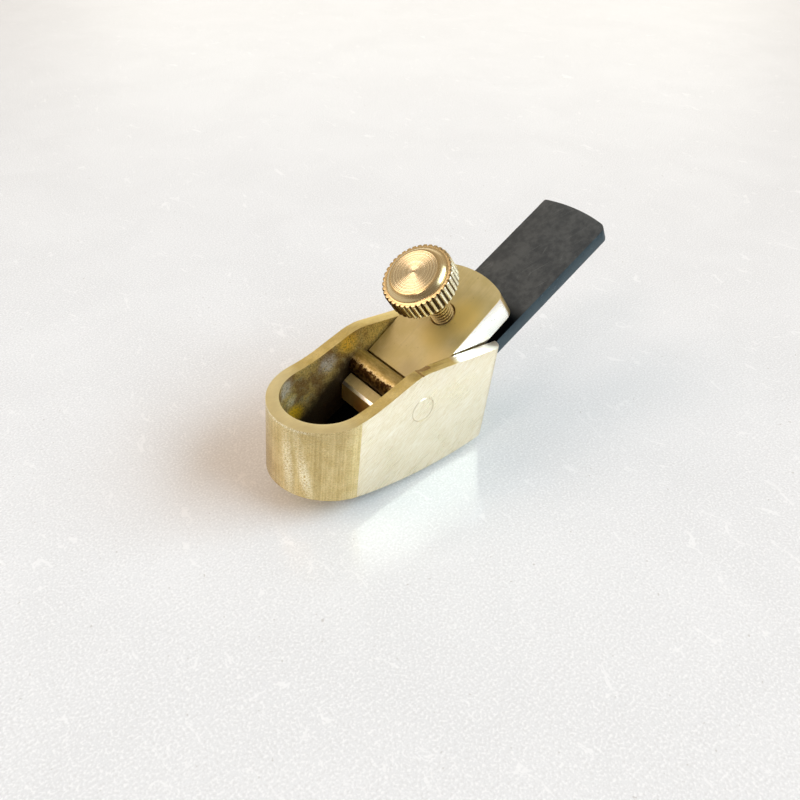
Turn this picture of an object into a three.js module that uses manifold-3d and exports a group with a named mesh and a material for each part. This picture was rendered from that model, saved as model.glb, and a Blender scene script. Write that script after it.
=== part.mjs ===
// Small brass finger plane: a cast brass body with a round nose and a convex sole,
// a black steel iron lying on a sloping bed, and a lever cap that hooks under a
// cross pin and is tightened by a knurled thumbscrew.
//
// Millimetres. +Z is up, +X points to the nose, +Y is the plane's left side.
// The origin is the point of the sole that the plane stands on, under its centre of mass.
// The pieces are drawn square to the plane's own walls and then tilted together, because
// the sole is convex lengthwise and the weight of the iron and the screw brings the nose up.
import * as THREE from 'three';
import { mergeVertices } from 'three/addons/utils/BufferGeometryUtils.js';
import Module from 'manifold-3d';

// ---- how the plane stands ----
const NOSE_UP = THREE.MathUtils.degToRad(5.2);

// ---- body ----
const BODY_HALF_WIDTH = 9.5;
const CAVITY_HALF_WIDTH = 7.4;
const NOSE_CENTRE_X = 12.9;          // centre of the round nose; its radius is the half width
const REAR_X = -16.55;               // rear face at the height of the sole
const REAR_LEAN = 0.0335;            // the rear face leans back by this much per mm of height
const REAR_CORNER_RADIUS = 2.0;
const HEEL_RADIUS = 2.4;             // where the rear face turns into the sole
const SOLE_RADIUS_LENGTHWISE = 75.5;
const SOLE_RADIUS_CROSSWISE = 37;
const STANDING_FLAT = [1.5, 1];      // half length and half width of the flat the sole stands on

// ---- top edge of the walls, seen from the side ----
const WALL_TOP_NOSE_Z = 16.36;       // at the tip of the nose
const WALL_TOP_NOSE_SLOPE = 0.107;   // rise per mm towards the rear
const WALL_PEAK = [1.22, 21.92];     // where the front and rear slopes meet, beside the cross pin
const WALL_PEAK_RADIUS = 10;
const WALL_TOP_RISE_SLOPE = 0.4257;
const WALL_TOP_BLEND_RADIUS = 25;
const WALL_TOP_REAR_SLOPE = 0.035;   // fall per mm from the peak to the rear

// ---- iron (blade) and its bed ----
const BED_SLOPE = THREE.MathUtils.degToRad(33.12);
const IRON_HALF_WIDTH = 7.25;
const IRON_THICKNESS = 2.8;
const IRON_LENGTH = 66.2;
const IRON_EDGE = [12.3, 1.13];      // x and z of the cutting edge
const IRON_BEVEL = THREE.MathUtils.degToRad(28);
const IRON_EDGE_RADIUS = 25.3;       // the edge is ground to the sole's crosswise curve
const IRON_END_RADIUS = 30;          // the gentle curve of the iron's top end
const IRON_CORNER_RADII = [1.6, 0.5]; // left and right corner of the top end
const SEAT_GAP = 0.3;                // between faces that rest on each other

// ---- mouth in the sole ----
const MOUTH_FRONT_X = 13.4;
const MOUTH_FRONT_Z = 1.2;           // top of its front wall, where the throat begins to slope
const MOUTH_UNDERCUT = 0.5;          // how far the bed runs on past the cutting edge
const THROAT_FLOOR_START = [14.6, 3.8];
const THROAT_FLOOR_END = [21, 5.2];

// ---- cross pin ----
const PIN_X = 0.27;
const PIN_Z = 14.92;
const PIN_RADIUS = 2.25;
const PIN_FIT_GAP = 0.03;

// ---- lever cap, in its own frame: origin on the pin's axis, +X down its slope ----
const CAP_SLOPE = THREE.MathUtils.degToRad(38.52);
const CAP_HALF_WIDTH = 7.1;
const CAP_TOP = 0.55;
const CAP_UNDERSIDE_REAR = -4.98;
const CAP_REAR_X = -24.6;
const CAP_END_RADIUS = 17.5;
const CAP_CORNER_RADII = [1.8, 1.8];
const CAP_SLOT_HALF = 2.5;           // the round-bottomed slot that the pin lies in
const CAP_LIP_TOP = 0.12;            // top of the lip in front of the slot
const CAP_LIP_FRONT = [4.92, 6.88];  // x of its front face at the top and at the bottom
const CAP_LIP_CORNER_Z = -2.49;
const CAP_LIP_BREAK = [0.5, 0.085];   // length and drop of its broken top edge
const CAP_TOE = [4.93, -4.21];       // the edge that bears on the iron

// ---- thumbscrew: head and stud, square to the top of the cap ----
const SCREW_X = -15.1;
const STUD_RADIUS = 2.0;
const STUD_PITCH = 0.7;
const STUD_THREAD_DEPTH = 0.36;
const STUD_TIP = -5.9;
const STUD_NECK = 1.2;               // plain length under the head
const STUD_HOLE_RADIUS = 2.3;
const STUD_HOLE_CHAMFER = 0.35;
const HEAD_BOTTOM = 8.75;
const HEAD_SHOULDER = 12.2;
const HEAD_CROWN = 13.3;
const HEAD_RADIUS = 6.12;
const HEAD_DISC_RADIUS = 5.2;        // the raised disc inside the knurled rim
const HEAD_SOCKET_DEPTH = 2.4;
const HEAD_SOCKET_GAP = 0.05;
const KNURL_TEETH = 38;
const KNURL_DEPTH = 0.42;

const wasm = await Module();
wasm.setup();

const FAR = 60;                      // larger than any part, for cutting shapes

// A closed three.js geometry as a solid that can be joined and cut.
function toSolid(geometry) {
  const bare = geometry.clone();
  bare.deleteAttribute('normal');
  bare.deleteAttribute('uv');
  const merged = mergeVertices(bare, 1e-5);
  return new wasm.Manifold(new wasm.Mesh({
    numProp: 3,
    vertProperties: merged.attributes.position.array,
    triVerts: merged.index.array,
  }));
}

// The solid back as a three.js geometry.
function toGeometry(solid) {
  const mesh = solid.getMesh();
  const geometry = new THREE.BufferGeometry();
  geometry.setAttribute('position', new THREE.BufferAttribute(mesh.vertProperties, 3));
  geometry.setIndex(new THREE.BufferAttribute(mesh.triVerts, 1));
  geometry.computeVertexNormals();
  return geometry;
}

// An outline in the X-Y plane raised from z = low to z = high.
function raise(shape, low, high, curveSegments = 24) {
  const options = { depth: high - low, bevelEnabled: false, curveSegments };
  return new THREE.ExtrudeGeometry(shape, options).translate(0, 0, low);
}

// An outline in the X-Z plane made into a bar across Y, centred on y = 0.
function across(shape, halfWidth, curveSegments = 24, steps = 1) {
  const options = { depth: 2 * halfWidth, bevelEnabled: false, curveSegments, steps };
  return new THREE.ExtrudeGeometry(shape, options).rotateX(Math.PI / 2).translate(0, halfWidth, 0);
}

function polygon(points) {
  return new THREE.Shape(points.map(([x, y]) => new THREE.Vector2(x, y)));
}

// A strip with parallel sides that ends at endX in a wide arc with rounded corners,
// the left corner's radius first. Its other end, at startX, is square.
function roundEndedStrip(startX, endX, halfWidth, endRadius, cornerRadii) {
  const arcCentreX = endX + endRadius;
  const [left, right] = cornerRadii.map((radius) => {
    const y = halfWidth - radius;
    const x = arcCentreX - Math.sqrt((endRadius - radius) ** 2 - y ** 2);
    return { radius, x, y, turn: Math.atan2(y, arcCentreX - x) };
  });
  const shape = new THREE.Shape();
  shape.moveTo(startX, -halfWidth);
  shape.lineTo(startX, halfWidth);
  shape.lineTo(left.x, halfWidth);
  shape.absarc(left.x, left.y, left.radius, Math.PI / 2, Math.PI - left.turn, false);
  shape.absarc(arcCentreX, 0, endRadius, Math.PI - left.turn, Math.PI + right.turn, false);
  shape.absarc(right.x, -right.y, right.radius, Math.PI + right.turn, 1.5 * Math.PI, false);
  return shape;
}

// ---- body ----

// The outline seen from above: round nose, straight sides, rounded rear corners.
function bodyPlan() {
  const cornerX = REAR_X + REAR_CORNER_RADIUS;
  const cornerY = BODY_HALF_WIDTH - REAR_CORNER_RADIUS;
  const shape = new THREE.Shape();
  shape.absarc(NOSE_CENTRE_X, 0, BODY_HALF_WIDTH, -Math.PI / 2, Math.PI / 2, false);
  shape.absarc(cornerX, cornerY, REAR_CORNER_RADIUS, Math.PI / 2, Math.PI, false);
  shape.absarc(cornerX, -cornerY, REAR_CORNER_RADIUS, Math.PI, 1.5 * Math.PI, false);
  return shape;
}

// Leans the rear face back by moving every point behind the origin.
function leanRear(geometry) {
  const position = geometry.attributes.position;
  for (let i = 0; i < position.count; i += 1) {
    const x = position.getX(i);
    if (x < 0) {
      position.setX(i, x - REAR_LEAN * position.getZ(i));
    }
  }
  return geometry;
}

// The walls seen from the side: low at the nose, rising to the peak by the pin,
// then falling slightly to the rear. The two slopes in front blend in an arc.
function wallProfile() {
  const noseX = NOSE_CENTRE_X + BODY_HALF_WIDTH;
  const [peakX, peakZ] = WALL_PEAK;
  const noseLineZ = (x) => WALL_TOP_NOSE_Z + WALL_TOP_NOSE_SLOPE * (noseX - x);
  const kneeX = (noseLineZ(0) - peakZ - WALL_TOP_RISE_SLOPE * peakX)
    / (WALL_TOP_NOSE_SLOPE - WALL_TOP_RISE_SLOPE);
  const kneeZ = noseLineZ(kneeX);
  const lower = Math.atan(WALL_TOP_NOSE_SLOPE);
  const upper = Math.atan(WALL_TOP_RISE_SLOPE);
  const tangent = WALL_TOP_BLEND_RADIUS * Math.tan((upper - lower) / 2);
  const startX = kneeX + tangent * Math.cos(lower);
  const startZ = kneeZ - tangent * Math.sin(lower);
  const centreX = startX + WALL_TOP_BLEND_RADIUS * Math.sin(lower);
  const centreZ = startZ + WALL_TOP_BLEND_RADIUS * Math.cos(lower);
  const beyond = 5;
  const shape = new THREE.Shape();
  shape.moveTo(noseX + beyond, -beyond);
  shape.lineTo(noseX + beyond, noseLineZ(noseX + beyond));
  shape.absarc(centreX, centreZ, WALL_TOP_BLEND_RADIUS, -Math.PI / 2 - lower, -Math.PI / 2 - upper, true);
  const fall = Math.atan(WALL_TOP_REAR_SLOPE);
  const reach = WALL_PEAK_RADIUS * Math.tan((upper + fall) / 2);
  const crestX = peakX + reach * Math.cos(upper) - WALL_PEAK_RADIUS * Math.sin(upper);
  const crestZ = peakZ - reach * Math.sin(upper) - WALL_PEAK_RADIUS * Math.cos(upper);
  shape.absarc(crestX, crestZ, WALL_PEAK_RADIUS, Math.PI / 2 - upper, Math.PI / 2 + fall, false);
  shape.lineTo(-FAR, peakZ - WALL_TOP_REAR_SLOPE * (FAR + peakX));
  shape.lineTo(-FAR, -beyond);
  return shape;
}

// The point of the sole that touches the table, in the frame of the walls.
const STANDING_X = -SOLE_RADIUS_LENGTHWISE * Math.tan(NOSE_UP);
const STANDING_Z = STANDING_X ** 2 / (2 * SOLE_RADIUS_LENGTHWISE);

// Everything under the sole: a block whose top face is curved both ways.
// The grid has one cell centred on the standing point, the flat that the plane stands on.
function underSole() {
  const [flatX, flatY] = STANDING_FLAT;
  const cells = [23, 11];
  const depth = 12;
  const block = new THREE.BoxGeometry(2 * flatX * cells[0], 2 * flatY * cells[1], depth, ...cells, 1);
  block.translate(0, 0, -depth / 2);
  const flatRise = flatX ** 2 / (2 * SOLE_RADIUS_LENGTHWISE) + flatY ** 2 / (2 * SOLE_RADIUS_CROSSWISE);
  const position = block.attributes.position;
  for (let i = 0; i < position.count; i += 1) {
    if (position.getZ(i) > -depth / 2) {
      const rise = position.getX(i) ** 2 / (2 * SOLE_RADIUS_LENGTHWISE)
        + position.getY(i) ** 2 / (2 * SOLE_RADIUS_CROSSWISE);
      position.setZ(i, rise - flatRise);
    }
  }
  return toSolid(block.rotateY(NOSE_UP).translate(STANDING_X, 0, STANDING_Z));
}

// The height of the sole above the frame's zero, on the middle line (y = 0).
function soleZ(x) {
  return x ** 2 / (2 * SOLE_RADIUS_LENGTHWISE);
}

// Everything outside the arc that joins the rear face to the sole. The arc's centre is one
// radius away from both; the cutter bends upwards towards the sides as the sole does.
function outsideHeel() {
  const footX = REAR_X + HEEL_RADIUS;
  const soleSlope = footX / SOLE_RADIUS_LENGTHWISE;
  const soleOffset = soleZ(footX) - soleSlope * footX + HEEL_RADIUS * Math.hypot(1, soleSlope);
  const rearOffset = REAR_X + HEEL_RADIUS * Math.hypot(1, REAR_LEAN);
  const centreZ = (soleOffset + soleSlope * rearOffset) / (1 + soleSlope * REAR_LEAN);
  const centreX = rearOffset - REAR_LEAN * centreZ;
  const start = Math.atan(soleSlope) - Math.PI / 2;
  const end = Math.atan(REAR_LEAN) - Math.PI;
  const shape = new THREE.Shape();
  shape.moveTo(-FAR, -FAR);
  shape.lineTo(centreX + HEEL_RADIUS * Math.cos(start), -FAR);
  shape.absarc(centreX, centreZ, HEEL_RADIUS, start, end, true);
  shape.lineTo(-FAR, centreZ + HEEL_RADIUS * Math.sin(end));
  const cutter = across(shape, BODY_HALF_WIDTH + 1, 10, 12);
  const position = cutter.attributes.position;
  for (let i = 0; i < position.count; i += 1) {
    position.setZ(i, position.getZ(i) + position.getY(i) ** 2 / (2 * SOLE_RADIUS_CROSSWISE));
  }
  return toSolid(cutter);
}

// The hollow between the walls: the bed, the mouth and the floor of the throat.
function cavity() {
  const plan = new THREE.Shape();
  plan.absarc(NOSE_CENTRE_X, 0, CAVITY_HALF_WIDTH, -Math.PI / 2, Math.PI / 2, false);
  plan.lineTo(-FAR, CAVITY_HALF_WIDTH);
  plan.lineTo(-FAR, -CAVITY_HALF_WIDTH);
  const ironUnderside = IRON_EDGE[1] - (IRON_THICKNESS + SEAT_GAP) / Math.cos(BED_SLOPE);
  const bedZ = (x) => ironUnderside + Math.tan(BED_SLOPE) * (IRON_EDGE[0] - x);
  const below = IRON_EDGE[0] + MOUTH_UNDERCUT;
  const side = polygon([
    [-FAR, bedZ(-FAR)],
    [below, bedZ(below)],
    [MOUTH_FRONT_X, bedZ(below)],
    [MOUTH_FRONT_X, MOUTH_FRONT_Z],
    THROAT_FLOOR_START,
    THROAT_FLOOR_END,
    [FAR, THROAT_FLOOR_END[1]],
    [FAR, FAR],
    [-FAR, FAR],
  ]);
  return toSolid(raise(plan, -FAR, FAR, 40)).intersect(toSolid(across(side, FAR)));
}

function crossBar(radius, halfLength) {
  const bar = new THREE.CylinderGeometry(radius, radius, 2 * halfLength, 40, 1, false);
  return bar.translate(PIN_X, 0, 0).translate(0, 0, PIN_Z);
}

function makeBody() {
  const blankHeights = [-5, 30];
  const outer = toSolid(leanRear(raise(bodyPlan(), ...blankHeights, 32)));
  const solid = outer
    .intersect(toSolid(across(wallProfile(), FAR, 20)))
    .subtract(underSole())
    .subtract(outsideHeel())
    .subtract(cavity())
    .subtract(toSolid(crossBar(PIN_RADIUS + PIN_FIT_GAP, FAR)));
  return toGeometry(solid);
}

// ---- iron: origin at the middle of its cutting edge, +X down the bed ----

function makeIron() {
  const bevelLength = IRON_THICKNESS / Math.tan(IRON_BEVEL);
  const edgeLand = 0.05;
  const aheadOfEdge = 5;
  const plan = roundEndedStrip(
    aheadOfEdge, -IRON_LENGTH, IRON_HALF_WIDTH, IRON_END_RADIUS, IRON_CORNER_RADII);
  const side = polygon([
    [0, 0],
    [-FAR * 2, 0],
    [-FAR * 2, -IRON_THICKNESS],
    [-bevelLength, -IRON_THICKNESS],
    [0, -edgeLand],
  ]);
  // the edge and its bevel are swept back towards the sides of the iron
  const bar = across(side, IRON_HALF_WIDTH + 1, 1, 16);
  const position = bar.attributes.position;
  for (let i = 0; i < position.count; i += 1) {
    const x = position.getX(i);
    if (x > -bevelLength - SEAT_GAP) {
      position.setX(i, x - position.getY(i) ** 2 / (2 * IRON_EDGE_RADIUS));
    }
  }
  return toGeometry(toSolid(raise(plan, -2 * IRON_THICKNESS, IRON_THICKNESS)).intersect(toSolid(bar)));
}

// ---- lever cap ----

function makeCap() {
  const side = new THREE.Shape();
  side.moveTo(-FAR, CAP_TOP);
  side.lineTo(-FAR, CAP_UNDERSIDE_REAR);
  side.lineTo(CAP_REAR_X, CAP_UNDERSIDE_REAR);
  side.lineTo(CAP_TOE[0], CAP_TOE[1]);
  side.lineTo(CAP_LIP_FRONT[1], CAP_LIP_CORNER_Z);
  side.lineTo(CAP_LIP_FRONT[0], CAP_LIP_TOP - CAP_LIP_BREAK[1]);
  side.lineTo(CAP_LIP_FRONT[0] - CAP_LIP_BREAK[0], CAP_LIP_TOP);
  side.lineTo(CAP_SLOT_HALF, CAP_LIP_TOP);
  side.lineTo(CAP_SLOT_HALF, 0);
  side.absarc(0, 0, CAP_SLOT_HALF, 0, -Math.PI, true);
  side.lineTo(-CAP_SLOT_HALF, CAP_TOP);
  const plan = roundEndedStrip(FAR, CAP_REAR_X, CAP_HALF_WIDTH, CAP_END_RADIUS, CAP_CORNER_RADII);
  const bore = new THREE.LatheGeometry([
    new THREE.Vector2(0, -FAR),
    new THREE.Vector2(STUD_HOLE_RADIUS, -FAR),
    new THREE.Vector2(STUD_HOLE_RADIUS, CAP_TOP - STUD_HOLE_CHAMFER),
    new THREE.Vector2(STUD_HOLE_RADIUS + STUD_HOLE_CHAMFER * 2, CAP_TOP + STUD_HOLE_CHAMFER),
    new THREE.Vector2(0, CAP_TOP + STUD_HOLE_CHAMFER),
  ], 36);
  bore.rotateX(Math.PI / 2).translate(SCREW_X, 0, 0);
  const solid = toSolid(raise(plan, -FAR, FAR))
    .intersect(toSolid(across(side, FAR)))
    .subtract(toSolid(bore));
  return toGeometry(solid);
}

// ---- thumbscrew, in the cap's frame moved to the screw's axis ----

// The stud: a cylinder whose radius follows a V thread, plain at the neck and the tip.
function makeStud() {
  const top = HEAD_BOTTOM + HEAD_SOCKET_DEPTH - SEAT_GAP;
  const length = top - STUD_TIP;
  const rows = Math.round((length / STUD_PITCH) * 4);
  const stud = new THREE.CylinderGeometry(STUD_RADIUS, STUD_RADIUS, length, 20, rows, false);
  stud.rotateX(Math.PI / 2).translate(0, 0, STUD_TIP + length / 2);
  const threadEnd = HEAD_BOTTOM - STUD_NECK;
  const tipChamfer = 0.7;
  const tipTaper = 0.6;
  const position = stud.attributes.position;
  for (let i = 0; i < position.count; i += 1) {
    const x = position.getX(i);
    const y = position.getY(i);
    const z = position.getZ(i);
    const radius = Math.hypot(x, y);
    if (radius > STUD_RADIUS / 2) {
      const phase = z / STUD_PITCH - Math.atan2(y, x) / (2 * Math.PI);
      const valley = Math.abs(2 * (phase - Math.floor(phase)) - 1);
      const fade = THREE.MathUtils.clamp((threadEnd - z) / STUD_PITCH, 0, 1);
      const tip = Math.max(0, STUD_TIP + tipChamfer - z);
      const scale = (STUD_RADIUS - STUD_THREAD_DEPTH * valley * fade - tipTaper * tip) / radius;
      position.setX(i, x * scale);
      position.setY(i, y * scale);
    }
  }
  return toGeometry(toSolid(stud));
}

// The knurled outline of the head: straight teeth with flat crests and narrow valleys.
function knurlOutline() {
  const points = [];
  const toothShares = [[0, 1], [0.5, 1], [0.68, 0], [0.82, 0]];
  for (let tooth = 0; tooth < KNURL_TEETH; tooth += 1) {
    for (const [share, crest] of toothShares) {
      const angle = ((tooth + share) / KNURL_TEETH) * 2 * Math.PI;
      const radius = HEAD_RADIUS - KNURL_DEPTH * (1 - crest);
      points.push([radius * Math.cos(angle), radius * Math.sin(angle)]);
    }
  }
  return polygon(points);
}

function makeHead() {
  const discFoot = 0.06;
  const discEdge = [1.25, 0.93];       // how far in and how high the disc's rounded edge goes
  const rimChamfer = 0.3;
  const turned = [new THREE.Vector2(0, HEAD_BOTTOM)];
  turned.push(new THREE.Vector2(HEAD_RADIUS - rimChamfer, HEAD_BOTTOM));
  turned.push(new THREE.Vector2(HEAD_RADIUS + rimChamfer, HEAD_BOTTOM + 2 * rimChamfer));
  turned.push(new THREE.Vector2(HEAD_RADIUS + rimChamfer, HEAD_SHOULDER - 2 * rimChamfer));
  turned.push(new THREE.Vector2(HEAD_RADIUS - rimChamfer, HEAD_SHOULDER));
  turned.push(new THREE.Vector2(HEAD_DISC_RADIUS, HEAD_SHOULDER));
  // broad rounded edge of the raised disc, then a shallow cone up to the crown
  const edgeSteps = 6;
  for (let step = 0; step <= edgeSteps; step += 1) {
    const angle = (step / edgeSteps) * (Math.PI / 2);
    const x = HEAD_DISC_RADIUS - discEdge[0] * (1 - Math.cos(angle));
    const z = HEAD_SHOULDER + discFoot + discEdge[1] * Math.sin(angle);
    turned.push(new THREE.Vector2(x, z));
  }
  turned.push(new THREE.Vector2(0, HEAD_CROWN));
  const blank = new THREE.LatheGeometry(turned, 76).rotateX(Math.PI / 2);
  const socketRadius = STUD_RADIUS + HEAD_SOCKET_GAP;
  const socket = new THREE.CylinderGeometry(socketRadius, socketRadius, 2 * HEAD_SOCKET_DEPTH, 40);
  socket.rotateX(Math.PI / 2).translate(0, 0, HEAD_BOTTOM);
  const solid = toSolid(blank)
    .intersect(toSolid(raise(knurlOutline(), 0, FAR)))
    .subtract(toSolid(socket));
  return toGeometry(solid);
}

// ---- assembly ----

function material(color, roughness, metalness) {
  return new THREE.MeshStandardMaterial({ color, roughness, metalness });
}

function piece(name, geometry, finish) {
  const mesh = new THREE.Mesh(geometry, finish);
  mesh.name = name;
  return mesh;
}

const castBrass = material(0xcdb478, 0.42, 1);
const sawnBrass = material(0xc4a668, 0.4, 1);
const turnedBrass = material(0xd0ac70, 0.25, 1);
const blackSteel = material(0x33373a, 0.55, 0.6);

const plane = new THREE.Group();
plane.rotation.y = -NOSE_UP;
plane.position.x = -(STANDING_X * Math.cos(NOSE_UP) - STANDING_Z * Math.sin(NOSE_UP));
plane.position.z = -(STANDING_X * Math.sin(NOSE_UP) + STANDING_Z * Math.cos(NOSE_UP));
plane.add(piece('body', makeBody(), castBrass));
plane.add(piece('cross_pin', toGeometry(toSolid(crossBar(PIN_RADIUS, BODY_HALF_WIDTH))), turnedBrass));

const iron = piece('iron', makeIron(), blackSteel);
iron.position.set(IRON_EDGE[0], 0, IRON_EDGE[1]);
iron.rotation.y = BED_SLOPE;
plane.add(iron);

const capFrame = new THREE.Group();
capFrame.position.set(PIN_X, 0, PIN_Z);
capFrame.rotation.y = CAP_SLOPE;
capFrame.add(piece('lever_cap', makeCap(), sawnBrass));

const screwFrame = new THREE.Group();
screwFrame.position.set(SCREW_X, 0, 0);
screwFrame.add(piece('thumbscrew_stud', makeStud(), turnedBrass));
screwFrame.add(piece('thumbscrew_head', makeHead(), turnedBrass));
capFrame.add(screwFrame);
plane.add(capFrame);

const standing = new THREE.Group();
standing.add(plane);

export default standing;
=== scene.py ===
"""Looks of the small brass finger plane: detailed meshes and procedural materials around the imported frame.

Meshes are drawn in millimetres in the frame of the plane's own walls, then stored in metres.
"""

import math

import bmesh
import bpy
from mathutils import Matrix, Vector, noise


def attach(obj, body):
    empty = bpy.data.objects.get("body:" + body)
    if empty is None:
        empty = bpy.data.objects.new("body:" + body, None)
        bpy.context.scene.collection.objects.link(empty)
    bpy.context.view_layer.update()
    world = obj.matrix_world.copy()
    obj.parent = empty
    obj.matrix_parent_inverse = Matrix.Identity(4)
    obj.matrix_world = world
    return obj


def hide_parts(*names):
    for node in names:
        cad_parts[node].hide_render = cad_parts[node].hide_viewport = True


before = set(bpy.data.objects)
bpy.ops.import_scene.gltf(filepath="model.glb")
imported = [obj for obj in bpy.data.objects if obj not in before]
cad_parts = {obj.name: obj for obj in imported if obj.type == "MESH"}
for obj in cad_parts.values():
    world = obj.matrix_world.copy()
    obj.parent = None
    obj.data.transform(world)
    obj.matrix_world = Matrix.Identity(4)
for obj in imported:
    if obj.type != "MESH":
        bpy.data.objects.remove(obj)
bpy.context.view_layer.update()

MM = 0.001
FAR = 60       # past the ends of the body and of the cap, in mm

# ---------------------------------------------------------------- dimensions, mm
NOSE_UP = math.radians(5.2)
STAND_X = -75.5 * math.tan(NOSE_UP)
STAND_Z = STAND_X ** 2 / 151.0

HALF_W = 9.5
CAV_HALF_W = 7.4
NOSE_X = 12.9
REAR_X = -16.55
REAR_LEAN = 0.0335
REAR_R = 2.0
HEEL_R = 2.4
SOLE_RX = 75.5
SOLE_RY = 37.0

TOP_NOSE_Z = 16.36
TOP_NOSE_SLOPE = 0.107
PEAK_X, PEAK_Z = 1.22, 21.92
PEAK_R = 10.0
TOP_RISE_SLOPE = 0.4257
TOP_BLEND_R = 25.0
TOP_REAR_SLOPE = 0.035

BED = math.radians(33.12)
IRON_HALF_W = 7.25
IRON_T = 2.8
IRON_L = 66.2
IRON_EDGE_X, IRON_EDGE_Z = 12.3, 1.13
SEAT_GAP = 0.3
NICK = (-0.1, 7.75, 22.35)
NICK_SIZE = (1.9, 0.9, 0.8)
NICK_TURN = math.radians(-10)
# the front wall of the mouth, rising to the floor of the nose
MOUTH_FRONT = ((13.4, 1.2), (14.6, 3.8), (21, 5.2))
IRON_GRIND = math.radians(28)
IRON_EDGE_R = 25.3
IRON_END_R, IRON_LEFT_R, IRON_RIGHT_R = 30.0, 1.6, 0.5

PIN_X, PIN_Z, PIN_R = 0.27, 14.92, 2.25
PIN_CHAMFER = 0.12
PIN_FIT = 0.02

CAP_SLOPE = math.radians(38.52)
CAP_HALF_W = 7.1
CAP_TOP = 0.55
CAP_REAR_X = -24.6
CAP_UNDER_REAR = -4.98
CAP_UNDER_TOE = (4.93, -4.21)
CAP_END_R, CAP_CORNER_R = 17.5, 1.8
LIP_TOP = 0.12
LIP_CORNER = (6.88, -2.49)
LIP_EDGE_X = 4.95
LIP_BREAK_X, LIP_BREAK_Z = 0.62, 0.074
SLOT_R = 2.5
SCREW_X = -15.1
SCREW_HOLE_R, SCREW_HOLE_RIM_R = 2.14, 2.5

HEAD_LOW, HEAD_SHOULDER = 8.75, 12.2
HEAD_R, DISC_R = 6.12, 5.2
HEAD_LOW_ROUND, HEAD_TOP_ROUND = 0.5, 0.3
CROWN_SLOPE = 0.03
GROOVE_DEPTH, GROOVE_PITCH = 0.020, 0.21
CENTRE_DIMPLE = 0.03
TURNED_FACE_R = DISC_R - 1.15
RING_INNER_R = DISC_R - 1.1
# slopes of the disc's edge in degrees, from its rim inwards
DISC_EDGE_SLOPES = (60, 54, 51, 49, 47, 45, 43, 40, 36, 31, 25, 18, 11, 6)
KNURL_TEETH, KNURL_DEPTH = 38, 0.43
# how far one tooth stands out, at even steps round it
KNURL_TOOTH = (1, 1, 1, 0.97, 0.82, 0.5, 0.15, 0.0, 0.0, 0.15, 0.5, 0.82)

STUD_R, STUD_LOW = 2.0, -5.9
THREAD_PITCH, THREAD_DEPTH = 0.7, 0.4
# how far the thread stands out, at even steps along one pitch
THREAD_FORM = (1, 1, 0.66, 0.33, 0, 0, 0.33, 0.66)

# ---------------------------------------------------------------- colours and light
# the cheeks' pale tone is partly the linished finish and partly a painted sheen
SIDE_LOW, SIDE_HIGH = (0.88, 0.79, 0.60), (0.95, 0.87, 0.71)
NOSE_LOW, NOSE_HIGH = (0.72, 0.56, 0.26), (0.86, 0.71, 0.38)
RIM_LOW, RIM_HIGH = (0.82, 0.66, 0.24), (0.94, 0.79, 0.35)
SOLE_LOW, SOLE_HIGH = (0.78, 0.64, 0.34), (0.90, 0.77, 0.47)
KNURL_HIGH = (0.74, 0.58, 0.29)
# the nose's painted highlight bands: angle round the nose at 10 mm height, lean per mm and half width in
# degrees, strength, height where the band fades
NOSE_HIGHLIGHT_BANDS = ((17, -0.6, 8, 0.85, 16.0), (33, -1.2, 8, 1.0, 13.5))
# patches in the hollow: centre, inner and outer radius, tint, least and most strength
HOLLOW_PATCHES = (
    # grey bloom on the right wall and round the nose
    ((7.2, -7.4, 16.8), 0.4, 2.6, (0.80, 0.72, 0.58), 0.35, 1.0),
    ((16.2, -6.6, 15.3), 0.4, 2.6, (0.82, 0.74, 0.56), 0.35, 1.0),
    ((14.6, -7.2, 12.0), 0.2, 1.6, (0.85, 0.76, 0.45), 0.35, 0.8),
    # gold by the cross pin and at the foot of the nose, duller inside the nose
    ((3.1, -7.4, 19.6), 0.5, 3.0, (1.0, 0.62, 0.06), 0.5, 1.0),
    ((-3.0, -7.4, 20.0), 1.0, 5.0, (0.80, 0.60, 0.16), 0.35, 0.9),
    ((13.9, -7.3, 8.7), 1.0, 2.8, (1.0, 0.60, 0.02), 0.9, 1.0),
    ((18.5, -4.2, 7.4), 1.6, 4.6, (1.0, 0.74, 0.06), 0.35, 1.0),
    ((19.6, 3.0, 11.0), 0.8, 4.5, (0.80, 0.66, 0.20), 0.35, 0.7))
# patches on the lever cap: centre, inner and outer radius, tint, strength
CAP_TOP_PATCHES = (
    # painted light: brighter and more golden where the knob's shadow falls
    ((-16.6, 3.8, 0.55), 1.0, 5.2, (1.0, 0.80, 0.30), 0.8),
    ((-8.6, 5.4, 0.55), 0.6, 3.6, (0.76, 0.62, 0.27), 0.5),
    # painted shade round the foot of the stud
    ((-11.6, 1.6, 0.55), 1.0, 4.2, (0.70, 0.55, 0.18), 0.6),
    ((-4.0, 2.2, 0.55), 0.6, 3.0, (0.50, 0.42, 0.24), 0.5))
# painted reflection: an orange glow from the gold hollow on the cap's front face
CAP_FRONT_PATCHES = (((6.7, -0.6, -2.2), 0.8, 4.6, (1.0, 0.52, 0.14), 0.85),)

SKY_LOW, SKY_HIGH = (0.66, 0.56, 0.45), (0.52, 0.44, 0.355)
# the sky is darker on one side of the table
SKY_SHADED, SHADED_SIDE = (0.27, 0.24, 0.21), (0.656, 0.755, 0.0)
# azimuth, elevation, half width, half height, softness, colour x strength; azimuth from +X towards +Y
WINDOWS = (
    (132, 38, 20, 10, 8, (4.7, 6.2, 7.4)),
    (-41, 44, 13, 10, 6, (3.15, 2.5, 2.15)),
    (7, 42, 4, 6, 4, (6.8, 5.4, 4.7)),
    (228, 10, 16, 6, 12, (0.55, 0.56, 0.52)),
)
CAMERA_PLACE = (0.072384, 0.080429, 0.096369)      # metres
CAMERA_TURN = (50.79883, -1.27855, 140.07647)      # degrees about X, Y and Z
CAMERA_LENS = 35.06                                # millimetres, on a sensor 36 mm wide

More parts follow.
